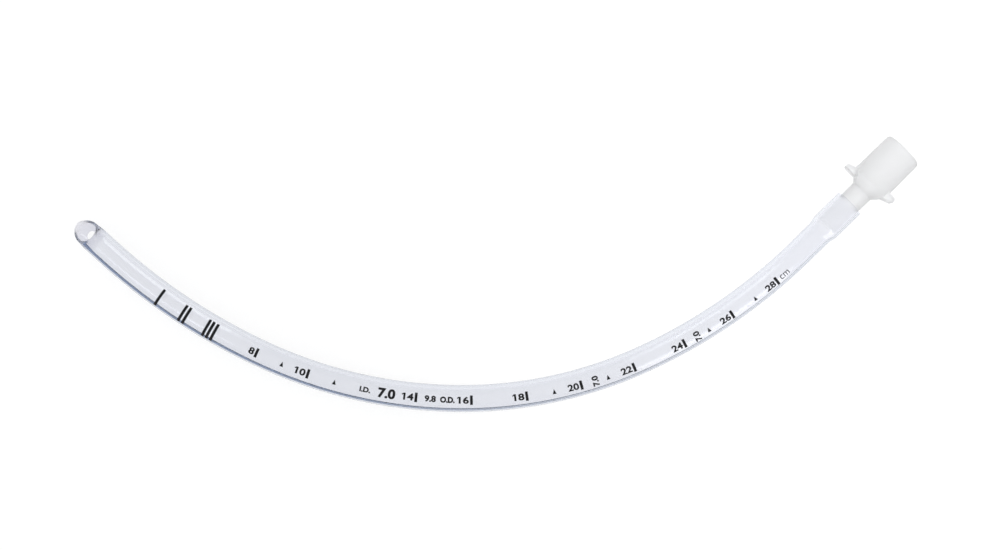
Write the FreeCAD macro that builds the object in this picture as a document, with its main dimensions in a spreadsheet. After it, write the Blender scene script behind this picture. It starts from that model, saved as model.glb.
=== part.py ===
import FreeCAD, Part
import math
import os
import Sketcher
from FreeCAD import Placement, Rotation, Vector

# Plain endotracheal tube of the Murphy type with its 15 mm connector, lying on its side.
# Millimetres. The origin is the centre of the connector's machine end and +X points out of it.
# The tube leaves along -X and curves towards +Y, all in the plane Z = 0, and +Z is up.

BENDS = 4

# Driving dimensions: name, size, what it is
DRIVING = [
    ("tube_length", 320.1, "patient tip to machine end, along the centreline"),
    ("tube_bore", 7.0, "inside diameter"),
    ("tube_wall", 1.4, "wall of the plain tube, which makes it 9.8 across"),
    ("straight_end", 24.5, "straight stretch at the machine end"),
    ("straight_tip", 15.6, "straight stretch at the patient end"),
    ("bend_radius_1", 200, "centreline radius nearest the connector"),
    ("bend_radius_2", 158, "second quarter of the curve"),
    ("bend_radius_3", 172, "third quarter of the curve"),
    ("bend_radius_4", 220, "quarter nearest the patient end"),
    ("stretched_wall", 1.2, "wall where the tube is stretched over the stem"),
    ("stretch_length", 4.0, "transition from the stretched end to the plain tube"),
    ("bevel_angle", 42, "degrees between the bevel and the tube's axis"),
    ("tip_rounding", 0.6, "radius of the heat-formed outer edge of the bevel"),
    ("eye_length", 4.6, "Murphy eye along the tube"),
    ("eye_width", 3.6, "Murphy eye across the tube"),
    ("eye_from_tip", 6.0, "patient tip to the near edge of the eye"),
    ("line_width", 1.1, "X-ray line inside the wall, from its lower to its upper edge"),
    ("line_cover", 0.35, "wall left on each side of the X-ray line"),
    ("line_angle", 25, "degrees of the X-ray line above the plane of the bend"),
    ("stem_diameter", 8.7, "outside of the connector's stem"),
    ("stem_wall", 0.85, "wall of the stem"),
    ("stem_length", 18.0, "stem from the shoulder to its patient end"),
    ("stem_bared", 6.2, "stretch of stem between the tube and the shoulder"),
    ("stem_lead", 0.6, "chamfer at the stem's patient end"),
    ("shoulder_length", 3.8, "conical shoulder between stem and cone"),
    ("cone_length", 18.0, "15 mm cone, from its machine end to the shoulder"),
    ("cone_diameter", 15.05, "outside of the cone at its machine end"),
    ("cone_taper", 40, "length over which the cone grows by one"),
    ("cone_wall", 1.725, "wall of the cone at its machine end"),
    ("cone_bore_short", 2.0, "the plain bore inside the cone stops this far before the shoulder"),
    ("funnel_length", 4.0, "from that bore down to the stem's bore"),
    ("mouth_chamfer", 0.4, "chamfers at the cone's machine end"),
    ("ear_stand_out", 3.05, "each ear's tip stands this far out of the cone"),
    ("ear_width", 8.0, "each ear seen along the axis"),
    ("ear_rounding", 2.6, "rounded corners of each ear seen along the axis"),
    ("thin_ear_thickness", 2.0, "ear on the inner side of the curve, at its tip"),
    ("thin_ear_from_shoulder", 1.7, "shoulder's start to that ear's patient face"),
    ("thick_ear_thickness", 2.8, "ear on the outer side of the curve, at its tip"),
    ("thick_ear_from_shoulder", 4.2, "shoulder's start to that ear's patient face"),
    ("ear_growth", 3.4, "how much thicker each ear's outline is at the axis than at its tip"),
]

# Places that follow from them: name, formula
DERIVED = [
    ("bore_radius", "=tube_bore / 2"),
    ("tube_radius", "=bore_radius + tube_wall"),
    ("stem_radius", "=stem_diameter / 2"),
    ("stretched_radius", "=stem_radius + stretched_wall"),
    ("shoulder_x", "=-(cone_length + shoulder_length)"),
    ("tube_end_x", "=shoulder_x - stem_bared"),
    ("stem_end_x", "=shoulder_x - stem_length"),
    ("plain_tube_x", "=stem_end_x - stretch_length"),
    ("joint_x_0", "=tube_end_x - straight_end"),
    ("joint_y_0", "=0"),
    ("turn_0", "=0"),
    ("bend_length", f"=(tube_length - straight_end - straight_tip) / {BENDS}"),
]
for number in range(1, BENDS + 1):
    radius = f"bend_radius_{number}"
    before = f"turn_{number - 1}"
    after = f"turn_{number}"
    DERIVED += [
        (after, f"={before} + bend_length / {radius} * 180 / pi"),
        (f"joint_x_{number}", f"=joint_x_{number - 1} - {radius} * (sin({after}) - sin({before}))"),
        (f"joint_y_{number}", f"=joint_y_{number - 1} + {radius} * (cos({before}) - cos({after}))"),
    ]
DERIVED += [
    ("tip_turn", f"=turn_{BENDS}"),
    ("tip_x", f"=joint_x_{BENDS} - straight_tip * cos(tip_turn)"),
    ("tip_y", f"=joint_y_{BENDS} + straight_tip * sin(tip_turn)"),
    ("bevel_overrun", "=tube_radius / 2"),
    ("bevel_drop", "=-tube_radius - bevel_overrun * tan(bevel_angle)"),
    ("bevel_top", "=tube_radius + bevel_overrun"),
    ("bevel_run", "=(tube_radius + bevel_top) / tan(bevel_angle)"),
    ("eye_near_y", "=-eye_from_tip - eye_width / 2"),
    ("eye_far_y", "=-eye_from_tip - eye_length + eye_width / 2"),
    ("line_thickness", "=tube_wall - 2 * line_cover"),
    ("stretched_line_thickness", "=stretched_wall - 2 * line_cover"),
    ("line_depth", "=(tube_radius + bore_radius) / 2"),
    ("line_out", "=line_depth * cos(line_angle)"),
    ("line_up", "=line_depth * sin(line_angle)"),
    ("stretched_line_depth", "=stem_radius + stretched_wall / 2"),
    ("stretched_line_out", "=stretched_line_depth * cos(line_angle)"),
    ("stretched_line_up", "=stretched_line_depth * sin(line_angle)"),
    ("cone_base_radius", "=cone_diameter / 2 + cone_length / cone_taper / 2"),
    ("cone_base_x", "=-cone_length"),
    ("cone_end_radius", "=cone_diameter / 2"),
    ("chamfered_end_radius", "=cone_end_radius - mouth_chamfer"),
    ("stem_lead_x", "=stem_end_x + stem_lead"),
    ("stem_lead_radius", "=stem_radius - stem_lead"),
    ("stem_bore_radius", "=stem_radius - stem_wall"),
    ("cone_bore_radius", "=cone_end_radius - cone_wall"),
    ("cone_bore_x", "=cone_base_x + cone_bore_short"),
    ("funnel_x", "=cone_bore_x - funnel_length"),
    ("mouth_radius", "=cone_bore_radius + mouth_chamfer"),
    ("ear_reach", "=cone_base_radius + ear_stand_out"),
    ("thin_ear_patient_x", "=shoulder_x + thin_ear_from_shoulder"),
    ("thin_ear_machine_x", "=thin_ear_patient_x + thin_ear_thickness"),
    ("thin_ear_root_x", "=thin_ear_machine_x + ear_growth"),
    ("thick_ear_patient_x", "=shoulder_x + thick_ear_from_shoulder"),
    ("thick_ear_machine_x", "=thick_ear_patient_x + thick_ear_thickness"),
    ("thick_ear_root_x", "=thick_ear_patient_x - ear_growth"),
    ("axis_height", "=0"),
]


def make_sheet(doc):
    """The table of sizes, one named cell for each."""
    sheet = doc.addObject("Spreadsheet::Sheet", "Sizes")
    rows = [(name, str(size), note) for name, size, note in DRIVING]
    rows += [(name, formula, "") for name, formula in DERIVED]
    for row, (name, text, note) in enumerate(rows, start=1):
        sheet.set(f"A{row}", name)
        sheet.set(f"B{row}", text)
        sheet.set(f"C{row}", note)
        sheet.setAlias(f"B{row}", name)
    doc.recompute()
    return sheet


def value(sheet, name):
    """A cell's number. A name may carry a minus sign."""
    if name.startswith("-"):
        return -value(sheet, name[1:])
    return float(getattr(sheet, name))


def bound(name):
    """The expression for a cell, with its sign."""
    sign = "-" if name.startswith("-") else ""
    return f"{sign}Sizes.{name.lstrip('-')}"


def hold(sketch, constraint, name, expression):
    """Adds a named dimension to a sketch and binds it to the table of sizes."""
    index = sketch.addConstraint(constraint)
    sketch.renameConstraint(index, name)
    sketch.setExpression(f".Constraints.{name}", expression)


def new_sketch(body, name, role):
    """A sketch on one of the body's own origin planes."""
    sketch = body.newObject("Sketcher::SketchObject", name)
    plane = next(item for item in body.Origin.OriginFeatures if item.Role == role)
    sketch.AttachmentSupport = [(plane, "")]
    sketch.MapMode = "FlatFace"
    return sketch


def pin_point(sketch, edge, end, name, places, numbers):
    """Holds one end of an edge at a place, given as a pair of expressions."""
    for way, expression, number in zip("XY", places, numbers):
        constraint = Sketcher.Constraint(f"Distance{way}", -1, 1, edge, end, number)
        hold(sketch, constraint, f"{name}_{way.lower()}", expression)


def polygon(sheet, sketch, corners):
    """A closed outline whose corners are pairs of cell names."""
    outline(sketch, [
        ([value(sheet, name) for name in corner], [bound(name) for name in corner])
        for corner in corners
    ])


def rectangle(sheet, sketch, centre, size):
    """An upright rectangle. Its centre and size are pairs of cell names."""
    across, up = (value(sheet, name) for name in centre)
    width, height = (value(sheet, name) for name in size)
    corners = []
    for right, top in ((-1, -1), (1, -1), (1, 1), (-1, 1)):
        number = (across + right * width / 2, up + top * height / 2)
        places = [
            f"{bound(middle)} + {side} * {bound(extent)} / 2"
            for middle, side, extent in zip(centre, (right, top), size)
        ]
        corners.append((number, places))
    outline(sketch, corners)


def outline(sketch, corners):
    """A closed outline of straight lines. Each corner is its numbers and its expressions."""
    points = [Vector(*number, 0) for number, _ in corners]
    for start, end in zip(points, points[1:] + points[:1]):
        sketch.addGeometry(Part.LineSegment(start, end), False)
    for edge, (number, places) in enumerate(corners):
        following = (edge + 1) % len(corners)
        sketch.addConstraint(Sketcher.Constraint("Coincident", edge, 2, following, 1))
        pin_point(sketch, edge, 1, f"corner_{edge}", places, number)


def circle(sketch, name, radius, centre=(0.0, 0.0), places=("0", "0")):
    """A circle. Its radius is given as a number and as an expression, and so is its centre."""
    number, expression = radius
    edge = sketch.addGeometry(Part.Circle(Vector(*centre, 0), Vector(0, 0, 1), number), False)
    hold(sketch, Sketcher.Constraint("Radius", edge, number), f"{name}_radius", expression)
    pin_point(sketch, edge, 3, f"{name}_centre", places, centre)


def bent_path(sheet, sketch, offset_name=None):
    """The preformed curve: a straight end, the bends as tangent arcs, and a straight tip.

    With an offset it runs beside the centreline, on the outer side of the curve.
    """
    offset = value(sheet, offset_name) if offset_name else 0.0
    shift = bound(offset_name) if offset_name else "0"

    def place(x_name, y_name, turn_name):
        """A point beside the centreline, as numbers and as expressions."""
        turn = math.radians(value(sheet, turn_name))
        numbers = (
            value(sheet, x_name) - offset * math.sin(turn),
            value(sheet, y_name) - offset * math.cos(turn),
        )
        places = (
            f"{bound(x_name)} - {shift} * sin({bound(turn_name)})",
            f"{bound(y_name)} - {shift} * cos({bound(turn_name)})",
        )
        return numbers, places

    stops = [place("plain_tube_x", "joint_y_0", "turn_0")]
    for number in range(BENDS + 1):
        stops.append(place(f"joint_x_{number}", f"joint_y_{number}", f"turn_{number}"))
    stops.append(place("tip_x", "tip_y", "tip_turn"))

    points = [Vector(*numbers, 0) for numbers, _ in stops]
    sketch.addGeometry(Part.LineSegment(points[0], points[1]), False)
    for number in range(1, BENDS + 1):
        radius = value(sheet, f"bend_radius_{number}") + offset
        middle_turn = math.radians(
            (value(sheet, f"turn_{number - 1}") + value(sheet, f"turn_{number}")) / 2
        )
        start_turn = math.radians(value(sheet, f"turn_{number - 1}"))
        centre = points[number] + Vector(math.sin(start_turn), math.cos(start_turn), 0) * radius
        middle = centre - Vector(math.sin(middle_turn), math.cos(middle_turn), 0) * radius
        sketch.addGeometry(Part.Arc(points[number], middle, points[number + 1]), False)
    sketch.addGeometry(Part.LineSegment(points[-2], points[-1]), False)

    # an arc is stored anticlockwise, so its first end is the one nearer the tip
    first_end = [1] + [2] * BENDS + [1]
    last_end = [2] + [1] * BENDS + [2]
    for edge in range(BENDS + 1):
        sketch.addConstraint(
            Sketcher.Constraint("Coincident", edge, last_end[edge], edge + 1, first_end[edge + 1])
        )
    for edge, (numbers, places) in enumerate(stops[:-1]):
        pin_point(sketch, edge, first_end[edge], f"stop_{edge}", places, numbers)
    pin_point(sketch, BENDS + 1, 2, "tip", stops[-1][1], stops[-1][0])
    for number in range(1, BENDS + 1):
        radius = value(sheet, f"bend_radius_{number}") + offset
        expression = f"Sizes.bend_radius_{number} + {shift}"
        hold(sketch, Sketcher.Constraint("Radius", number, radius), f"bend_{number}", expression)


def sweep(body, name, section, path):
    """A section carried along a path, square to it."""
    pipe = body.newObject("PartDesign::AdditivePipe", name)
    pipe.Profile = section
    pipe.Spine = (path, [])
    return pipe


def turn_about_x(body, name, kind, sketch):
    """A full turn of an outline about the connector's axis."""
    feature = body.newObject(f"PartDesign::{kind}", name)
    feature.Profile = sketch
    feature.ReferenceAxis = (sketch, ["H_Axis"])
    feature.Angle = 360
    return feature


def cut(body, name, sketch, length):
    """A pocket whose depth is bound to the table of sizes."""
    pocket = body.newObject("PartDesign::Pocket", name)
    pocket.Profile = sketch
    pocket.setExpression("Length", length)
    return pocket


def put_at_tip(sketch, across_tube):
    """Carries a sketch to the patient tip and turns it to the way the tube points there.

    A sketch across the tube stands upright along it, and the other lies flat.
    """
    if across_tube:
        places = ("Sizes.tip_y", "0", "Sizes.tip_x")
        upright = Vector(0, 1, 0)
    else:
        places = ("Sizes.tip_x", "Sizes.tip_y", "0")
        upright = Vector(0, 0, 1)
    sketch.AttachmentOffset = Placement(Vector(0, 0, 0), Rotation(upright, 1))
    for way, expression in zip("xyz", places):
        sketch.setExpression(f".AttachmentOffset.Base.{way}", expression)
    sketch.setExpression(".AttachmentOffset.Rotation.Angle", "90 - Sizes.tip_turn")


def edge_names(shape, wanted):
    """Names of the edges that a test picks."""
    return [f"Edge{number}" for number, edge in enumerate(shape.Edges, start=1) if wanted(edge)]


def borders(edge, wire):
    """Is this edge one of a wire's?"""
    return any(edge.isSame(side) for side in wire.Edges)


def round_edges(body, name, base, names, radius):
    """A fillet along named edges, with its radius bound to the table of sizes."""
    if not names:
        raise RuntimeError(f"{name}: no edge found")
    fillet = body.newObject("PartDesign::Fillet", name)
    fillet.Base = (base, names)
    fillet.setExpression("Radius", radius)


def slot(sheet, sketch, width_name, far_name, near_name):
    """An upright slot with round ends, from the centres of its ends and its width."""
    half = value(sheet, width_name) / 2
    far, near = value(sheet, far_name), value(sheet, near_name)
    sketch.addGeometry([
        Part.LineSegment(Vector(half, far, 0), Vector(half, near, 0)),
        Part.Arc(Vector(half, near, 0), Vector(0, near + half, 0), Vector(-half, near, 0)),
        Part.LineSegment(Vector(-half, near, 0), Vector(-half, far, 0)),
        Part.Arc(Vector(-half, far, 0), Vector(0, far - half, 0), Vector(half, far, 0)),
    ], False)
    for edge in range(4):
        sketch.addConstraint(Sketcher.Constraint("Tangent", edge, 2, (edge + 1) % 4, 1))
    sketch.addConstraint(Sketcher.Constraint("Equal", 1, 3))
    hold(sketch, Sketcher.Constraint("Radius", 1, half), "half_width", f"{bound(width_name)} / 2")
    pin_point(sketch, 1, 3, "near_centre", ("0", bound(near_name)), (0, near))
    pin_point(sketch, 3, 3, "far_centre", ("0", bound(far_name)), (0, far))


# The tube: extruded, stretched at one end, bent, cut to a bevel and heat rounded at the other
def make_tube_blank(doc, sheet):
    body = doc.addObject("PartDesign::Body", "TubeBlank")

    stretched = new_sketch(body, "StretchedEnd", "XY_Plane")
    polygon(sheet, stretched, [
        ("tube_end_x", "stem_radius"),
        ("tube_end_x", "stretched_radius"),
        ("stem_end_x", "stretched_radius"),
        ("plain_tube_x", "tube_radius"),
        ("plain_tube_x", "bore_radius"),
        ("stem_end_x", "stem_radius"),
    ])
    turn_about_x(body, "StretchedEndTurned", "Revolution", stretched)

    path = new_sketch(body, "Centreline", "XY_Plane")
    bent_path(sheet, path)
    section = new_sketch(body, "Section", "YZ_Plane")
    section.setExpression(".AttachmentOffset.Base.z", "Sizes.plain_tube_x")
    circle(section, "outside", (value(sheet, "tube_radius"), "Sizes.tube_radius"))
    circle(section, "inside", (value(sheet, "bore_radius"), "Sizes.bore_radius"))
    sweep(body, "CurvedTube", section, path)

    # the bevel faces up, so the point of the tube is its lowest wall
    bevel = new_sketch(body, "BevelOutline", "YZ_Plane")
    put_at_tip(bevel, across_tube=True)
    polygon(sheet, bevel, [
        ("bevel_overrun", "bevel_drop"),
        ("bevel_overrun", "bevel_top"),
        ("-bevel_run", "bevel_top"),
    ])
    bevel_cut = cut(body, "Bevel", bevel, "4 * Sizes.tube_radius")
    bevel_cut.SideType = "Symmetric"
    doc.recompute()
    slope = math.radians(value(sheet, "bevel_angle"))
    bevel_normal = tip_direction(sheet) * math.sin(slope) + Vector(0, 0, math.cos(slope))
    bevel_face = next(face for face in bevel_cut.Shape.Faces if faces_along(face, bevel_normal))
    rim = edge_names(bevel_cut.Shape, lambda edge: borders(edge, bevel_face.OuterWire))
    round_edges(body, "HeatRoundedTip", bevel_cut, rim, "Sizes.tip_rounding")

    # the Murphy eye is punched through the lowest wall only
    eye = new_sketch(body, "EyeOutline", "XY_Plane")
    put_at_tip(eye, across_tube=False)
    slot(sheet, eye, "eye_width", "eye_far_y", "eye_near_y")
    cut(body, "MurphyEye", eye, "2 * Sizes.tube_radius")
    return body


def tip_direction(sheet):
    """The way the tube points at its patient end."""
    turn = math.radians(value(sheet, "tip_turn"))
    return Vector(-math.cos(turn), math.sin(turn), 0)


def faces_along(face, direction):
    """Is this a flat face with that outward normal?"""
    if not isinstance(face.Surface, Part.Plane):
        return False
    return face.normalAt(0, 0).dot(direction) > 0.999


# The X-ray line: a flat filament inside the wall, on the outer side of the curve
def make_line_blank(doc, sheet):
    body = doc.addObject("PartDesign::Body", "LineBlank")

    def section(name, x_name, out_name, up_name, thickness_name):
        sketch = new_sketch(body, name, "YZ_Plane")
        sketch.setExpression(".AttachmentOffset.Base.z", bound(x_name))
        rectangle(sheet, sketch, ("-" + out_name, up_name), (thickness_name, "line_width"))
        return sketch

    path = new_sketch(body, "LinePath", "XY_Plane")
    path.setExpression(".AttachmentOffset.Base.z", "Sizes.line_up")
    bent_path(sheet, path, "line_out")
    in_plain_tube = section(
        "LineSection", "plain_tube_x", "line_out", "line_up", "line_thickness"
    )
    sweep(body, "LineInCurve", in_plain_tube, path)

    in_stretched_end = section(
        "StretchedLineSection", "stem_end_x", "stretched_line_out", "stretched_line_up",
        "stretched_line_thickness",
    )
    transition = body.newObject("PartDesign::AdditiveLoft", "LineInTransition")
    transition.Profile = in_plain_tube
    transition.Sections = [in_stretched_end]
    end = body.newObject("PartDesign::Pad", "LineOverStem")
    end.Profile = in_stretched_end
    end.setExpression("Length", "Sizes.tube_end_x - Sizes.stem_end_x")
    return body


# The connector: one moulding with a stem, a shoulder, two ears and the 15 mm male cone
def make_connector(doc, sheet):
    body = doc.addObject("PartDesign::Body", "Connector")

    outside = new_sketch(body, "Outside", "XY_Plane")
    polygon(sheet, outside, [
        ("stem_end_x", "axis_height"),
        ("stem_end_x", "stem_lead_radius"),
        ("stem_lead_x", "stem_radius"),
        ("shoulder_x", "stem_radius"),
        ("cone_base_x", "cone_base_radius"),
        ("-mouth_chamfer", "cone_end_radius"),
        ("axis_height", "chamfered_end_radius"),
        ("axis_height", "axis_height"),
    ])
    turn_about_x(body, "OutsideTurned", "Revolution", outside)

    # both ears thicken towards the axis, each on its own side
    for name, side, square_x, tip_x, root_x in (
        ("ThinEar", "", "thin_ear_patient_x", "thin_ear_machine_x", "thin_ear_root_x"),
        ("ThickEar", "-", "thick_ear_machine_x", "thick_ear_patient_x", "thick_ear_root_x"),
    ):
        ear = new_sketch(body, f"{name}Outline", "XY_Plane")
        polygon(sheet, ear, [
            (square_x, "axis_height"),
            (square_x, f"{side}ear_reach"),
            (tip_x, f"{side}ear_reach"),
            (root_x, "axis_height"),
        ])
        pad = body.newObject("PartDesign::Pad", name)
        pad.Profile = ear
        pad.SideType = "Symmetric"
        pad.setExpression("Length", "Sizes.ear_width")
    doc.recompute()

    corners = edge_names(pad.Shape, lambda edge: is_ear_corner(sheet, edge))
    round_edges(body, "EarCorners", pad, corners, "Sizes.ear_rounding")

    lumen = new_sketch(body, "Lumen", "XY_Plane")
    polygon(sheet, lumen, [
        ("stem_end_x", "axis_height"),
        ("stem_end_x", "stem_bore_radius"),
        ("funnel_x", "stem_bore_radius"),
        ("cone_bore_x", "cone_bore_radius"),
        ("-mouth_chamfer", "cone_bore_radius"),
        ("axis_height", "mouth_radius"),
        ("axis_height", "axis_height"),
    ])
    turn_about_x(body, "LumenTurned", "Groove", lumen)
    return body


def is_ear_corner(sheet, edge):
    """Is this one of the four corners of the ears, seen along the axis?"""
    middle = edge.valueAt((edge.FirstParameter + edge.LastParameter) / 2)
    at_tip = abs(abs(middle.y) - value(sheet, "ear_reach")) < 0.01
    at_side = abs(abs(middle.z) - value(sheet, "ear_width") / 2) < 0.01
    return at_tip and at_side


def name_node(obj, label):
    """Gives a sub-part the name that its file carries."""
    obj.Label = label
    return obj


def check(doc, nodes):
    """Stops the build if any feature failed or any piece isn't one sound solid."""
    for obj in doc.Objects:
        if {"Invalid", "Error"} & set(obj.State):
            raise RuntimeError(f"{obj.Label} failed: {obj.State}")
    for node in nodes:
        shape = node.Shape
        if shape.isNull() or not shape.isValid() or len(shape.Solids) != 1:
            raise RuntimeError(f"{node.Label} is not one sound solid")


def main():
    doc = FreeCAD.newDocument("EndotrachealTube")
    sheet = make_sheet(doc)
    tube_blank = make_tube_blank(doc, sheet)
    line_blank = make_line_blank(doc, sheet)
    connector = name_node(make_connector(doc, sheet), "connector")
    doc.recompute()

    # the line fills its channel face to face and ends with the tube at both ends
    tube = name_node(doc.addObject("Part::Cut", "Tube"), "tube")
    tube.Base = tube_blank
    tube.Tool = line_blank
    line = name_node(doc.addObject("Part::Common", "Line"), "radiopaque_line")
    line.Base = line_blank
    line.Tool = tube_blank
    doc.recompute()

    nodes = [tube, line, connector]
    check(doc, nodes)
    os.makedirs("parts", exist_ok=True)
    for node in nodes:
        node.Shape.exportStep(f"parts/{node.Label}.step")
        box = node.Shape.BoundBox
        size = f"{box.XLength:.2f} x {box.YLength:.2f} x {box.ZLength:.2f} mm"
        print(f"{node.Label}: {node.Shape.Volume:.1f} mm3, {size}")


main()
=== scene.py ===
import math

import bmesh
import bpy
from mathutils import Matrix, Vector


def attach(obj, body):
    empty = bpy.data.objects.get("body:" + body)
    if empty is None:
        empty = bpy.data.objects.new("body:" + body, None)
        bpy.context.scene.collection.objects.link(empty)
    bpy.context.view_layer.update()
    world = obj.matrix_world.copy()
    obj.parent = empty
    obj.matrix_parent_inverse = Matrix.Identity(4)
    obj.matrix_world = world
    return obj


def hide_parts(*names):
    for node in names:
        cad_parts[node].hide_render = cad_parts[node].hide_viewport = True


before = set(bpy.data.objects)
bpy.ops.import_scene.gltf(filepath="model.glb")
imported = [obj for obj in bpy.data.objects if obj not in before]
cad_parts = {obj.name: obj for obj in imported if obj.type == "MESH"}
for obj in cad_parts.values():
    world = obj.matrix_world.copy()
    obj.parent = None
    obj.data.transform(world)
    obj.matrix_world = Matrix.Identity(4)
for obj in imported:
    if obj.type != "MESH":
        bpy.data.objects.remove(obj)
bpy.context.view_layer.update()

# Camera: straight above the tube as it lies on its side, with the connector at the upper
# right of the picture and the patient tip at the left.
camera_data = bpy.data.cameras.new("camera")
camera_data.lens = 96.04
camera_data.sensor_width = 36.0
camera = bpy.data.objects.new("camera", camera_data)
camera.location = (-0.1377, 0.07135, 0.9563)
camera.rotation_euler = (0.0, 0.0, math.radians(-44.45))
bpy.context.scene.collection.objects.link(camera)
bpy.context.scene.camera = camera
bpy.context.scene.view_settings.view_transform = "Standard"

# Floor and light: a pale seamless table in a white tent, just under the cone's widest end.
# The table glows, so that it stays white beside the clear tube and still takes a soft shadow. Its
# glow grows along x: a painted fall-off of light, so that the floor seen through the tube is
# brighter towards the connector.
TABLE_TOP = -0.00776

table = bpy.data.materials.new("white_table")
table.use_nodes = True
nodes, links = table.node_tree.nodes, table.node_tree.links
nodes.clear()
paper = nodes.new("ShaderNodeBsdfDiffuse")
paper.inputs["Color"].default_value = (0.22, 0.22, 0.22, 1.0)
place = nodes.new("ShaderNodeTexCoord")
across = nodes.new("ShaderNodeSeparateXYZ")
# painted fall-off of light: the glow is weaker towards the patient tip and stronger towards the
# connector
painted_falloff = nodes.new("ShaderNodeMapRange")
painted_falloff.inputs["From Min"].default_value = -0.20
painted_falloff.inputs["From Max"].default_value = -0.05
painted_falloff.inputs["To Min"].default_value = 0.835
painted_falloff.inputs["To Max"].default_value = 0.97
glow = nodes.new("ShaderNodeEmission")
links.new(place.outputs["Object"], across.inputs["Vector"])
links.new(across.outputs["X"], painted_falloff.inputs["Value"])
links.new(painted_falloff.outputs["Result"], glow.inputs["Strength"])
both = nodes.new("ShaderNodeAddShader")
output = nodes.new("ShaderNodeOutputMaterial")
links.new(paper.outputs["BSDF"], both.inputs[0])
links.new(glow.outputs["Emission"], both.inputs[1])
links.new(both.outputs["Shader"], output.inputs["Surface"])

sheet = bmesh.new()
bmesh.ops.create_grid(sheet, x_segments=1, y_segments=1, size=3.0)
bmesh.ops.translate(sheet, verts=sheet.verts, vec=(-0.12, 0.07, TABLE_TOP))
floor_mesh = bpy.data.meshes.new("floor")
sheet.to_mesh(floor_mesh)
sheet.free()
floor = bpy.data.objects.new("floor", floor_mesh)
bpy.context.scene.collection.objects.link(floor)
floor_mesh.materials.append(table)

tent = bpy.data.worlds.new("tent")
bpy.context.scene.world = tent
tent.use_nodes = True
nodes, links = tent.node_tree.nodes, tent.node_tree.links
nodes.clear()
direction = nodes.new("ShaderNodeTexCoord")
height = nodes.new("ShaderNodeSeparateXYZ")
shade = nodes.new("ShaderNodeValToRGB")
shade.color_ramp.elements[0].position = 0.0
shade.color_ramp.elements[0].color = (0.66, 0.67, 0.69, 1.0)
shade.color_ramp.elements[1].position = 0.75
shade.color_ramp.elements[1].color = (0.94, 0.95, 0.96, 1.0)
seen = nodes.new("ShaderNodeLightPath")
choose = nodes.new("ShaderNodeMix")
choose.data_type = "RGBA"
choose.inputs["B"].default_value = (1.0, 1.0, 1.0, 1.0)
sky = nodes.new("ShaderNodeBackground")
output = nodes.new("ShaderNodeOutputWorld")
links.new(direction.outputs["Generated"], height.inputs["Vector"])
links.new(height.outputs["Z"], shade.inputs["Fac"])
links.new(seen.outputs["Is Camera Ray"], choose.inputs["Factor"])
links.new(shade.outputs["Color"], choose.inputs["A"])
links.new(choose.outputs["Result"], sky.inputs["Color"])
links.new(sky.outputs["Background"], output.inputs["Surface"])


def softbox(name, place, target, size, power):
    """A square softbox that faces its target."""
    lamp_data = bpy.data.lights.new(name, "AREA")
    lamp_data.shape = "RECTANGLE"
    lamp_data.size, lamp_data.size_y = size
    lamp_data.energy = power
    lamp = bpy.data.objects.new(name, lamp_data)
    lamp.location = place
    aim = Vector(target) - Vector(place)
    lamp.rotation_euler = aim.to_track_quat("-Z", "Y").to_euler()
    lamp.visible_diffuse = False
    bpy.context.scene.collection.objects.link(lamp)


softbox("softbox_beyond_tip", (0.627, 0.394, 0.49), (-0.23, 0.18, 0.0), (0.16, 0.4), 0.5)
softbox("softbox_beside_connector", (-0.22, -0.88, 0.42), (-0.08, 0.01, 0.0), (0.42, 0.75), 2.2)

# The tube: a clear PVC extrusion preformed to its curve. The patient end is cut to a bevel
# and heat rounded, the Murphy eye is punched in the wall opposite the bevel, and the machine
# end is stretched over the connector's stem.
TUBE_LENGTH = 0.3203
TUBE_RADIUS = 0.0049
BORE_RADIUS = 0.0035
MACHINE_END_X = -0.0280
# from the machine end: the length of each stretch and its radius, where it is bent
STRAIGHTS_AND_BENDS = (
    (0.0245, None), (0.070, 0.200), (0.070, 0.158), (0.070, 0.172), (0.070, 0.220), (0.016, None)
)
STEM_RADIUS = 0.00435
GRIP_RADIUS = STEM_RADIUS + 0.000005
STEM_STOP = TUBE_LENGTH - 0.0118
FLARE_START = STEM_STOP - 0.0040
SLEEVE_RADIUS = 0.00555
MACHINE_END_ROUNDING = 0.00012
BEVEL_START, BEVEL_LENGTH, BEVEL_CURVE = 0.0005, 0.0095, 0.85
BEVEL_ROLL = math.radians(6.0)
BEVEL_FADE = 0.030
TIP_TAPER, TIP_FLARE, TIP_TAPER_LENGTH = 0.00040, 0.00025, 0.0055
TIP_ROUNDING = 0.00060
RIM_BAND, FINE_TO, CUT_TO = 0.0012, 0.016, 0.014
MILKY_TO, MILKY_FADE, RIM_CLEARNESS = 0.0085, 0.0045, 0.7
EYE_FIRST, EYE_LAST, EYE_RADIUS = 0.0080, 0.0090, 0.0018


def on_curve(point):
    """Carries a point of the straight tube onto the preformed curve.

    Along the straight tube x runs from the patient tip, y to the inner side of the curve
    and z up.
    """
    left = TUBE_LENGTH - point.x
    place, turn = Vector((MACHINE_END_X, 0.0)), 0.0
    for number, (length, radius) in enumerate(STRAIGHTS_AND_BENDS):
        last = number == len(STRAIGHTS_AND_BENDS) - 1
        run = left if last else min(left, length)
        if radius is None:
            place += Vector((-math.cos(turn), math.sin(turn))) * run
        else:
            after = turn + run / radius
            across = math.cos(turn) - math.cos(after)
            place += Vector((math.sin(turn) - math.sin(after), across)) * radius
            turn = after
        left -= run
        if left <= 0.0:
            break
    inner = Vector((math.sin(turn), math.cos(turn)))
    place += inner * point.y
    return Vector((place.x, place.y, point.z))


def piece(name, mesh_work, *materials):
    """Makes a finished bmesh an object that rides with the part."""
    mesh = bpy.data.meshes.new(name)
    mesh_work.to_mesh(mesh)
    mesh_work.free()
    for material in materials:
        mesh.materials.append(material)
    mesh.shade_smooth()
    mesh.set_sharp_from_angle(angle=math.radians(35.0))
    made = bpy.data.objects.new(name, mesh)
    bpy.context.scene.collection.objects.link(made)
    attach(made, "root")
    return made


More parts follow.
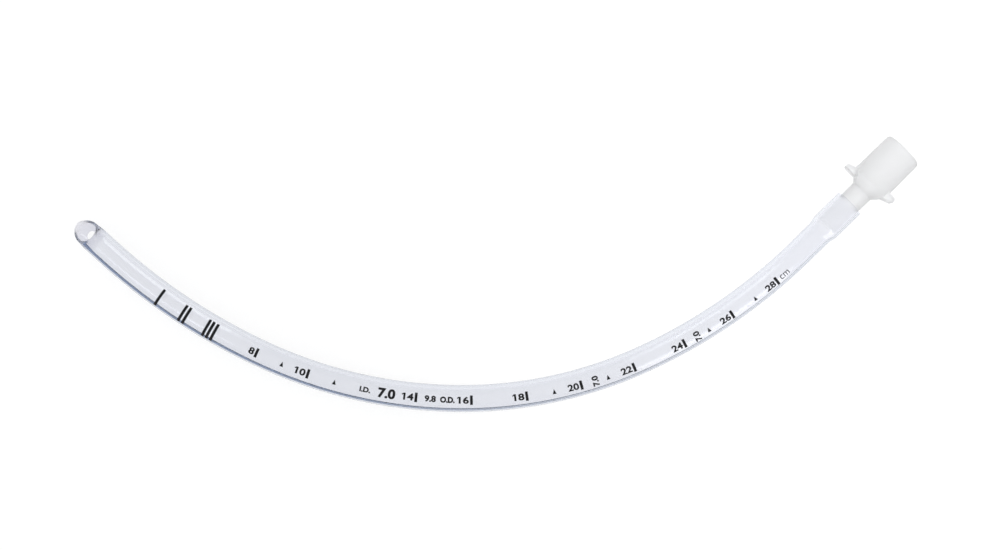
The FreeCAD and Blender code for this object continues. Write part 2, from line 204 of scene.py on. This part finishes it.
# half a section of the wall, divided finely where it bends, is turned about the tube's axis
wall = bmesh.new()
corners = (
    (TUBE_LENGTH, GRIP_RADIUS), (STEM_STOP, GRIP_RADIUS),
    (FLARE_START, BORE_RADIUS), (FINE_TO, BORE_RADIUS), (RIM_BAND, BORE_RADIUS),
    (0.0, BORE_RADIUS), (0.0, TUBE_RADIUS), (RIM_BAND, TUBE_RADIUS), (FINE_TO, TUBE_RADIUS),
    (FLARE_START, TUBE_RADIUS), (STEM_STOP, SLEEVE_RADIUS), (TUBE_LENGTH, SLEEVE_RADIUS),
)
profile = [wall.verts.new((x, radius, 0.0)) for x, radius in corners]
sides = [wall.edges.new((a, b)) for a, b in zip(profile, profile[1:] + profile[:1])]
for inner_side, outer_side, spacing in (
    (0, 10, 0.0020), (1, 9, 0.0003), (2, 8, 0.0020), (3, 7, 0.00032),
):
    for side in (sides[inner_side], sides[outer_side]):
        cuts = round(side.calc_length() / spacing) - 1
        bmesh.ops.subdivide_edges(wall, edges=[side], cuts=cuts)
for vert in wall.verts:
    share = (vert.co.x - FLARE_START) / (STEM_STOP - FLARE_START)
    if 0.0 < share < 1.0:
        ease = share * share * (3.0 - 2.0 * share)
        inside = vert.co.y < BORE_RADIUS + share * (GRIP_RADIUS - BORE_RADIUS) + 0.0005
        low, high = (BORE_RADIUS, GRIP_RADIUS) if inside else (TUBE_RADIUS, SLEEVE_RADIUS)
        vert.co.y = low + ease * (high - low)
bmesh.ops.spin(
    wall, geom=wall.verts[:] + wall.edges[:], cent=(0, 0, 0), axis=(1, 0, 0), dvec=(0, 0, 0),
    angle=2 * math.pi, steps=128, use_merge=True, use_duplicate=False,
)
bmesh.ops.remove_doubles(wall, verts=wall.verts, dist=1e-7)

# the end is drawn to a thin edge and sheared to the bevel, which is slightly hollow
for vert in wall.verts:
    if vert.co.x < BEVEL_FADE:
        rolled = vert.co.z * math.cos(BEVEL_ROLL) + vert.co.y * math.sin(BEVEL_ROLL)
        height = max(rolled + TUBE_RADIUS, 0.0) / (2 * TUBE_RADIUS)
        shear = BEVEL_START + BEVEL_LENGTH * height ** BEVEL_CURVE
        radius = math.hypot(vert.co.y, vert.co.z)
        if vert.co.x < TIP_TAPER_LENGTH:
            drawn = -TIP_TAPER if radius > BORE_RADIUS + 0.0001 else TIP_FLARE
            drawn *= (1.0 - vert.co.x / TIP_TAPER_LENGTH) ** 1.5
            vert.co.y *= 1.0 + drawn / radius
            vert.co.z *= 1.0 + drawn / radius
        vert.co.x += (1.0 - vert.co.x / BEVEL_FADE) * shear


def on_eye_line(point):
    """The place nearest to a point on the middle line of the eye's slot, seen from above."""
    return Vector((min(max(point.x, EYE_FIRST), EYE_LAST), 0.0))


def from_eye_line(point):
    """The way to a point from that place."""
    return Vector((point.x, point.y)) - on_eye_line(point)


# the eye's faces are punched out of the lower wall, and its edges are drawn to a true slot
punched = [
    face for face in wall.faces
    if face.calc_center_median().z < 0.0
    and from_eye_line(face.calc_center_median()).length < EYE_RADIUS
]
bmesh.ops.delete(wall, geom=punched, context="FACES")
eye_edges = [edge for edge in wall.edges if edge.is_boundary]
for vert in {vert for edge in eye_edges for vert in edge.verts}:
    radius = math.hypot(vert.co.y, vert.co.z)
    outward = from_eye_line(vert.co).normalized() * EYE_RADIUS
    vert.co.x, vert.co.y = on_eye_line(vert.co) + outward
    vert.co.z = -math.sqrt(radius ** 2 - vert.co.y ** 2)
bmesh.ops.bridge_loops(wall, edges=eye_edges)
bmesh.ops.recalc_face_normals(wall, faces=wall.faces)


def rims(low, high):
    """Sharp edges of the wall between two distances from the patient tip."""
    return [
        edge for edge in wall.edges
        if low <= (edge.verts[0].co.x + edge.verts[1].co.x) / 2 <= high
        and edge.calc_face_angle(0.0) > math.radians(28.0)
    ]


def is_eye_edge(edge):
    """Whether an edge is one of the eye's own."""
    middle = (edge.verts[0].co + edge.verts[1].co) / 2
    return middle.z < 0.0 and abs(from_eye_line(middle).length - EYE_RADIUS) < 0.0002


tip_rims = [edge for edge in rims(0.0, 0.0125) if not is_eye_edge(edge)]
bmesh.ops.bevel(
    wall, geom=tip_rims, offset=TIP_ROUNDING, segments=5, profile=0.5, affect="EDGES", material=-1,
    clamp_overlap=True,
)
bmesh.ops.bevel(
    wall, geom=rims(TUBE_LENGTH - 0.001, TUBE_LENGTH), offset=MACHINE_END_ROUNDING, segments=2,
    profile=0.5, affect="EDGES", material=-1,
)

# the mesh keeps where the rim was cut, and how milky the heat-formed point is
cut_rim = wall.verts.layers.float.new("cut_rim")
milky_point = wall.verts.layers.float.new("milky_point")
for face in wall.faces:
    middle = face.calc_center_median()
    outward = Vector((0.0, middle.y, middle.z)).normalized()
    faces_along = abs(face.normal.dot(outward)) < 0.9
    if middle.x < CUT_TO and faces_along and from_eye_line(middle).length >= EYE_RADIUS:
        for vert in face.verts:
            vert[cut_rim] = 1.0
for vert in wall.verts:
    vert[milky_point] = min(max(1.0 - (vert.co.x - MILKY_TO) / MILKY_FADE, 0.0), 1.0)
    vert[milky_point] *= 1.0 - RIM_CLEARNESS * vert[cut_rim]
    vert.co = on_curve(vert.co)


def new_material(name):
    """A new material, with its nodes, its links and its main shader."""
    made = bpy.data.materials.new(name)
    made.use_nodes = True
    tree = made.node_tree
    return made, tree.nodes, tree.links, tree.nodes["Principled BSDF"]


def noise(nodes, links, scale):
    """A fine random pattern, fixed to the part."""
    place = nodes.new("ShaderNodeTexCoord")
    pattern = nodes.new("ShaderNodeTexNoise")
    pattern.inputs["Scale"].default_value = scale
    links.new(place.outputs["Object"], pattern.inputs["Vector"])
    return pattern


def span(nodes, links, share, lowest, highest):
    """A value that goes from lowest to highest as the share goes from 0 to 1."""
    made = nodes.new("ShaderNodeMapRange")
    made.inputs["To Min"].default_value = lowest
    made.inputs["To Max"].default_value = highest
    links.new(share, made.inputs["Value"])
    return made


def colours(nodes, links, share, first, last):
    """A colour that goes from first to last as the share goes from 0 to 1."""
    made = nodes.new("ShaderNodeValToRGB")
    made.color_ramp.elements[0].color = first
    made.color_ramp.elements[1].color = last
    links.new(share, made.inputs["Fac"])
    return made


def kept_in_mesh(nodes, layer):
    """What the mesh keeps at each point."""
    made = nodes.new("ShaderNodeAttribute")
    made.attribute_name = layer
    return made.outputs["Fac"]


# drawing lines make the wall slightly uneven, the cut rim is frosted and the point is milky
clear_pvc, nodes, links, shader = new_material("clear_pvc")
shader.inputs["Transmission Weight"].default_value = 1.0
shader.inputs["IOR"].default_value = 1.53
depth = nodes.new("ShaderNodeVolumeAbsorption")
depth.inputs["Color"].default_value = (0.086, 0.20, 0.443, 1.0)
depth.inputs["Density"].default_value = 70.0
links.new(depth.outputs["Volume"], nodes["Material Output"].inputs["Volume"])
draw_lines = noise(nodes, links, 60.0)
draw_lines.inputs["Detail"].default_value = 1.0
haze = span(nodes, links, draw_lines.outputs["Fac"], 0.05, 0.11)
frost = nodes.new("ShaderNodeMath")
frost.operation = "MULTIPLY_ADD"
frost.inputs[1].default_value = 0.85
links.new(kept_in_mesh(nodes, "cut_rim"), frost.inputs[0])
links.new(haze.outputs["Result"], frost.inputs[2])
links.new(frost.outputs["Value"], shader.inputs["Roughness"])
tint = colours(
    nodes, links, kept_in_mesh(nodes, "milky_point"),
    (0.970, 0.967, 0.974, 1.0), (0.800, 0.795, 0.840, 1.0),
)
links.new(tint.outputs["Color"], shader.inputs["Base Color"])

tube = piece("clear_tube", wall, clear_pvc)
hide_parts("tube")

# The X-ray line: a flat filament of blue filled PVC, extruded inside the tube's wall on the
# outer side of the curve. It twists a little on its way and ends with the tube.
LINE_TWIST_TIP, LINE_TWIST_END = math.radians(30.0), math.radians(20.0)
LINE_START, LINE_DEPTH = 0.0083, 0.0039
STRETCHED_LINE_DEPTH = STEM_RADIUS + 0.00055
LINE_HALF_WIDTH, LINE_HALF_THICKNESS, LINE_NARROWING = 0.00058, 0.00020, 0.84

filament = bmesh.new()
line_length = TUBE_LENGTH - 0.0002 - LINE_START
bmesh.ops.create_cone(
    filament, cap_ends=True, segments=20, radius1=LINE_HALF_WIDTH, radius2=LINE_HALF_WIDTH,
    depth=line_length,
)
lengthways = Matrix.Rotation(math.pi / 2, 3, "Y")
flatness = LINE_HALF_THICKNESS / LINE_HALF_WIDTH
bmesh.ops.rotate(filament, verts=filament.verts, cent=(0, 0, 0), matrix=lengthways)
bmesh.ops.scale(filament, verts=filament.verts, vec=(1.0, flatness, 1.0))
bmesh.ops.translate(filament, verts=filament.verts, vec=(LINE_START + line_length / 2, 0.0, 0.0))
long_sides = [edge for edge in filament.edges if edge.calc_length() > line_length / 2]
bmesh.ops.subdivide_edges(filament, edges=long_sides, cuts=200, use_grid_fill=True)
for vert in filament.verts:
    share = vert.co.x / TUBE_LENGTH
    stretch = min(max((vert.co.x - FLARE_START) / (STEM_STOP - FLARE_START), 0.0), 1.0)
    depth = LINE_DEPTH + stretch * (STRETCHED_LINE_DEPTH - LINE_DEPTH)
    twist = LINE_TWIST_TIP + share * (LINE_TWIST_END - LINE_TWIST_TIP)
    narrowing = 1.0 - LINE_NARROWING * share
    out, up = depth + vert.co.y * narrowing, vert.co.z * narrowing
    vert.co.y = -out * math.cos(twist) + up * math.sin(twist)
    vert.co.z = out * math.sin(twist) + up * math.cos(twist)
    vert.co = on_curve(vert.co)
bmesh.ops.recalc_face_normals(filament, faces=filament.faces)

# streaky blue at the tip; towards the connector it is painted paler, a painted glare that stands
# in for the strong light washing the line out there
blue_pvc, nodes, links, shader = new_material("blue_pvc")
shader.inputs["Roughness"].default_value = 0.5
streaks = noise(nodes, links, 260.0)
blue = colours(
    nodes, links, streaks.outputs["Fac"], (0.250, 0.375, 0.640, 1.0), (0.310, 0.445, 0.730, 1.0)
)
place = nodes.new("ShaderNodeTexCoord")
along = nodes.new("ShaderNodeSeparateXYZ")
links.new(place.outputs["Object"], along.inputs["Vector"])
# painted glare: the blue is mixed towards pale blue along x, more so towards the connector
painted_glare_fade = span(nodes, links, along.outputs["X"], 0.20, 1.0)
painted_glare_fade.inputs["From Min"].default_value = -0.2345
painted_glare_fade.inputs["From Max"].default_value = -0.120
pale = nodes.new("ShaderNodeMix")
pale.data_type = "RGBA"
pale.inputs["B"].default_value = (0.84, 0.89, 0.98, 1.0)
links.new(painted_glare_fade.outputs["Result"], pale.inputs["Factor"])
links.new(blue.outputs["Color"], pale.inputs["A"])
links.new(pale.outputs["Result"], shader.inputs["Base Color"])

line = piece("xray_line", filament, blue_pvc)
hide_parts("radiopaque_line")

# The print: black ink pad-printed on the tube's upper side, reading from the patient tip to
# the machine end. Bars near the tip, then the depth in centimetres, and the size numbers.
INK_THICKNESS = 0.000015
INK_LIFT = 0.000006
PRINT_START, PRINT_STRETCH = 0.0022, 0.9984


def lean(x):
    """How far the print has drifted to the outer side of the curve, as an angle."""
    drift = min(max((x - 0.14) / 0.14, 0.0), 1.0)
    return math.radians(2.0 + 21.0 * drift)


def bar(ink, x, low, high, thickness):
    """A bar across the tube, at its distance from the patient tip."""
    made = bmesh.ops.create_cube(ink, size=1.0)["verts"]
    bmesh.ops.scale(ink, verts=made, vec=(thickness, high - low, INK_THICKNESS))
    bmesh.ops.translate(ink, verts=made, vec=(x, (low + high) / 2, 0.0))


def triangle(ink, x, low, width, height):
    """A small triangle that points to the inner side of the curve."""
    made = bmesh.ops.create_cone(
        ink, cap_ends=True, segments=3, radius1=1.0, radius2=1.0, depth=INK_THICKNESS
    )["verts"]
    bmesh.ops.scale(ink, verts=made, vec=(width / math.sqrt(3), height / 1.5, 1.0))
    bmesh.ops.translate(ink, verts=made, vec=(x, low + height / 3, 0.0))


def lettering(ink, words, start, end, low, high, weight, upwards=False):
    """Plain figures and letters, fitted between two distances from the tip."""
    words_curve = bpy.data.curves.new("words", "FONT")
    words_curve.body = words
    words_curve.offset = weight
    words_curve.resolution_u = 4
    words_curve.extrude = 0.5
    words_curve.fill_mode = "BOTH"
    words_object = bpy.data.objects.new("words", words_curve)
    flat = bpy.data.meshes.new_from_object(words_object)
    bpy.data.objects.remove(words_object)
    if upwards:
        flat.transform(Matrix.Rotation(math.pi / 2, 4, "Z"))
    before = set(ink.verts)
    ink.from_mesh(flat)
    made = [vert for vert in ink.verts if vert not in before]
    xs, ys = [vert.co.x for vert in made], [vert.co.y for vert in made]
    for vert in made:
        vert.co.x = start + (vert.co.x - min(xs)) / (max(xs) - min(xs)) * (end - start)
        vert.co.y = low + (vert.co.y - min(ys)) / (max(ys) - min(ys)) * (high - low)
        vert.co.z *= INK_THICKNESS


def flag(ink, x, high):
    """The short slanted stroke at the head of a figure 1, to the left of its stem."""
    made = bmesh.ops.create_cube(ink, size=1.0)["verts"]
    slant = Matrix.Rotation(math.radians(38.0), 3, "Z")
    bmesh.ops.scale(ink, verts=made, vec=(0.00085, 0.00042, INK_THICKNESS))
    bmesh.ops.rotate(ink, verts=made, cent=(0, 0, 0), matrix=slant)
    bmesh.ops.translate(ink, verts=made, vec=(x - 0.00022, high - 0.00045, 0.0))


def wrap(ink):
    """Cuts the flat print into narrow strips and lays it round the tube."""
    bmesh.ops.remove_doubles(ink, verts=ink.verts, dist=1e-7)
    xs, ys = [vert.co.x for vert in ink.verts], [vert.co.y for vert in ink.verts]
    for axis, low, high, step in ((0, min(xs), max(xs), 0.0012), (1, min(ys), max(ys), 0.00035)):
        normal = (1, 0, 0) if axis == 0 else (0, 1, 0)
        for count in range(1, int((high - low) / step) + 1):
            cut = [0.0, 0.0, 0.0]
            cut[axis] = low + count * step
            bmesh.ops.bisect_plane(
                ink, geom=ink.verts[:] + ink.edges[:] + ink.faces[:], dist=1e-8, plane_co=cut,
                plane_no=normal,
            )
    for vert in ink.verts:
        along = PRINT_START + PRINT_STRETCH * vert.co.x
        angle = vert.co.y / TUBE_RADIUS - lean(vert.co.x)
        radius = TUBE_RADIUS + INK_LIFT + INK_THICKNESS / 2 + vert.co.z
        vert.co = on_curve(Vector((along, radius * math.sin(angle), radius * math.cos(angle))))
    bmesh.ops.recalc_face_normals(ink, faces=ink.faces)


black_ink, nodes, links, shader = new_material("black_ink")
pad_marks = noise(nodes, links, 2600.0)
density = colours(
    nodes, links, pad_marks.outputs["Fac"], (0.003, 0.003, 0.004, 1.0), (0.016, 0.016, 0.019, 1.0)
)
density.color_ramp.elements[0].position = 0.35
density.color_ramp.elements[1].position = 0.80
shader.inputs["Roughness"].default_value = 0.6
shader.inputs["Specular IOR Level"].default_value = 0.2
links.new(density.outputs["Color"], shader.inputs["Base Color"])

ink = bmesh.new()
for x in (0.03965, 0.04968, 0.05138, 0.05972, 0.06132, 0.06302):
    bar(ink, x, -0.0046, 0.0030, 0.00105)
wrap(ink)
bars = piece("patient_end_bars", ink, black_ink)

ink = bmesh.new()
for depth in (8, 10, 14, 16, 18, 20, 22, 24, 26, 28):
    x = depth / 100
    figures = str(depth)
    start = x - (0.0030 if len(figures) == 1 else 0.0046 if figures[0] == "1" else 0.0050)
    lettering(ink, figures, start, x - 0.0009, -0.0013, 0.0013, weight=0.035)
    if figures[0] == "1":
        flag(ink, start, 0.0013)
    bar(ink, x, -0.00175, 0.00175, 0.0010)
for x in (0.090, 0.110, 0.190, 0.210, 0.250, 0.270):
    triangle(ink, x, -0.0009, 0.0014, 0.00185)
lettering(ink, "cm", 0.2817, 0.2856, -0.0009, 0.0009, weight=0.0)
wrap(ink)
scale = piece("depth_scale", ink, black_ink)

ink = bmesh.new()
lettering(ink, "I.D.", 0.1194, 0.1234, -0.0010, 0.0010, weight=0.05)
lettering(ink, "7.0", 0.1261, 0.1325, -0.0019, 0.0019, weight=0.045)
lettering(ink, "9.8", 0.1431, 0.1472, -0.0012, 0.0012, weight=0.045)
lettering(ink, "O.D.", 0.1487, 0.1540, -0.00115, 0.00115, weight=0.06)
for x in (0.2053, 0.2453):
    lettering(ink, "7.0", x - 0.0012, x + 0.0012, -0.0020, 0.0020, weight=0.045, upwards=True)
wrap(ink)
size_print = piece("size_numbers", ink, black_ink)

# The connector: one translucent polypropylene moulding, with the stem that the tube grips,
# a conical shoulder, two finger ears and the 15 mm male cone.
STEM_END_X, SHOULDER_X, CONE_BASE_X, MOUTH_X = -0.0398, -0.0218, -0.0180, -0.0004
CONE_BASE_RADIUS, CONE_BORE_RADIUS = 0.00775, 0.0058
EAR_REACH, EAR_WIDTH, EAR_ROUNDING = 0.0107, 0.008, 0.0026


def translucent_plastic(name, ior):
    """Frosted polypropylene, seen against air or against the tube that grips and clears it."""
    made, nodes, links, shader = new_material(name)
    shader.inputs["IOR"].default_value = ior
    shader.inputs["Transmission Weight"].default_value = 1.0
    milky = colours(
        nodes, links, kept_in_mesh(nodes, "milkiness"),
        (0.998, 0.999, 1.0, 1.0), (0.840, 0.843, 0.852, 1.0),
    )
    cloud = noise(nodes, links, 120.0)
    sheen = span(nodes, links, cloud.outputs["Fac"], 0.40, 0.48)
    links.new(milky.outputs["Color"], shader.inputs["Base Color"])
    links.new(sheen.outputs["Result"], shader.inputs["Roughness"])
    return made


white_pp = translucent_plastic("white_polypropylene", 1.49)
white_pp_in_tube = translucent_plastic("white_polypropylene_in_tube", 1.02)


def turned(corners):
    """An open outline that starts and ends on the connector's axis, turned about it."""
    work = bmesh.new()
    rim = [work.verts.new((x, radius, 0.0)) for x, radius in corners]
    for a, b in zip(rim, rim[1:]):
        work.edges.new((a, b))
    bmesh.ops.spin(
        work, geom=work.verts[:] + work.edges[:], cent=(0, 0, 0), axis=(1, 0, 0), dvec=(0, 0, 0),
        angle=2 * math.pi, steps=96, use_merge=True, use_duplicate=False,
    )
    bmesh.ops.remove_doubles(work, verts=work.verts, dist=1e-7)
    bmesh.ops.recalc_face_normals(work, faces=work.faces)
    return work


def soften(work, width, steps):
    """Rounds a solid's sharp edges."""
    sharp = [edge for edge in work.edges if edge.calc_face_angle(0.0) > math.radians(20.0)]
    bmesh.ops.bevel(
        work, geom=sharp, offset=width, segments=steps, profile=0.5, affect="EDGES", material=-1
    )


def ear(side, square_x, tip_x, root_x, softness):
    """A plate with one square face. Its other face runs out towards the axis."""
    work = bmesh.new()
    outline = ((square_x, 0.0), (square_x, EAR_REACH), (tip_x, EAR_REACH), (root_x, 0.0))
    plate = work.faces.new([work.verts.new((x, side * y, -EAR_WIDTH / 2)) for x, y in outline])
    lifted = bmesh.ops.extrude_face_region(work, geom=[plate])["geom"]
    lifted = [item for item in lifted if isinstance(item, bmesh.types.BMVert)]
    bmesh.ops.translate(work, verts=lifted, vec=(0.0, 0.0, EAR_WIDTH))
    outer_corners = [
        edge for edge in work.edges
        if all(abs(vert.co.y) > EAR_REACH - 1e-6 for vert in edge.verts)
        and abs(edge.verts[0].co.z - edge.verts[1].co.z) < 1e-6
    ]
    bmesh.ops.bevel(
        work, geom=outer_corners, offset=EAR_ROUNDING, segments=12, profile=0.5, affect="EDGES",
        material=-1,
    )
    bmesh.ops.recalc_face_normals(work, faces=work.faces)
    soften(work, softness, 4)
    return work


def combine(body, tool, operation):
    """Joins one solid to another, or cuts it out of the other."""
    pair = []
    for work in (body, tool):
        mesh = bpy.data.meshes.new("blank")
        work.to_mesh(mesh)
        work.free()
        pair.append(bpy.data.objects.new("blank", mesh))
        bpy.context.scene.collection.objects.link(pair[-1])
    modifier = pair[0].modifiers.new("combine", "BOOLEAN")
    modifier.operation = operation
    modifier.solver = "EXACT"
    modifier.object = pair[1]
    result = bmesh.new()
    result.from_object(pair[0], bpy.context.evaluated_depsgraph_get())
    for blank in pair:
        mesh = blank.data
        bpy.data.objects.remove(blank)
        bpy.data.meshes.remove(mesh)
    return result


moulding = turned((
    (STEM_END_X, 0.0), (STEM_END_X, 0.00375), (-0.0392, STEM_RADIUS), (SHOULDER_X, STEM_RADIUS),
    (CONE_BASE_X, CONE_BASE_RADIUS), (-0.0017, 0.00756), (-0.0009, 0.00740), (MOUTH_X, 0.00695),
    (MOUTH_X, 0.0),
))
soften(moulding, 0.00025, 3)
moulding = combine(moulding, ear(1, -0.0201, -0.0183, -0.0147, 0.0006), "UNION")
moulding = combine(moulding, ear(-1, -0.0151, -0.0176, -0.0210, 0.0010), "UNION")
lumen = turned((
    (-0.0405, 0.0), (-0.0405, BORE_RADIUS), (-0.0200, BORE_RADIUS), (-0.0160, CONE_BORE_RADIUS),
    (MOUTH_X, CONE_BORE_RADIUS), (0.0002, 0.0064), (0.0002, 0.0),
))
moulding = combine(moulding, lumen, "DIFFERENCE")

# The mesh keeps how milky each place is: clear where the tube grips it, milkiest in the ears.
# Where the tube grips the stem, no air is left between the two, so that part has a material of
# its own, which bends no light.
GRIPPED_BEFORE = MACHINE_END_X - 0.0001
for x in (MACHINE_END_X - 0.0002, MACHINE_END_X):
    bmesh.ops.bisect_plane(
        moulding, geom=moulding.verts[:] + moulding.edges[:] + moulding.faces[:], dist=1e-8,
        plane_co=(x, 0, 0), plane_no=(1, 0, 0),
    )
milkiness = moulding.verts.layers.float.new("milkiness")
for vert in moulding.verts:
    gripped = vert.co.x < GRIPPED_BEFORE
    in_ear = abs(vert.co.y) > CONE_BASE_RADIUS + 0.0001
    in_stem = vert.co.x < SHOULDER_X + 0.0003
    if gripped:
        vert[milkiness] = 0.0
    elif in_ear:
        vert[milkiness] = 1.0
    elif in_stem:
        vert[milkiness] = 0.28
    else:
        vert[milkiness] = 0.42
for face in moulding.faces:
    middle = face.calc_center_median()
    face.material_index = 1 if middle.x < GRIPPED_BEFORE else 0
connector = piece("connector_body", moulding, white_pp, white_pp_in_tube)
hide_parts("connector")
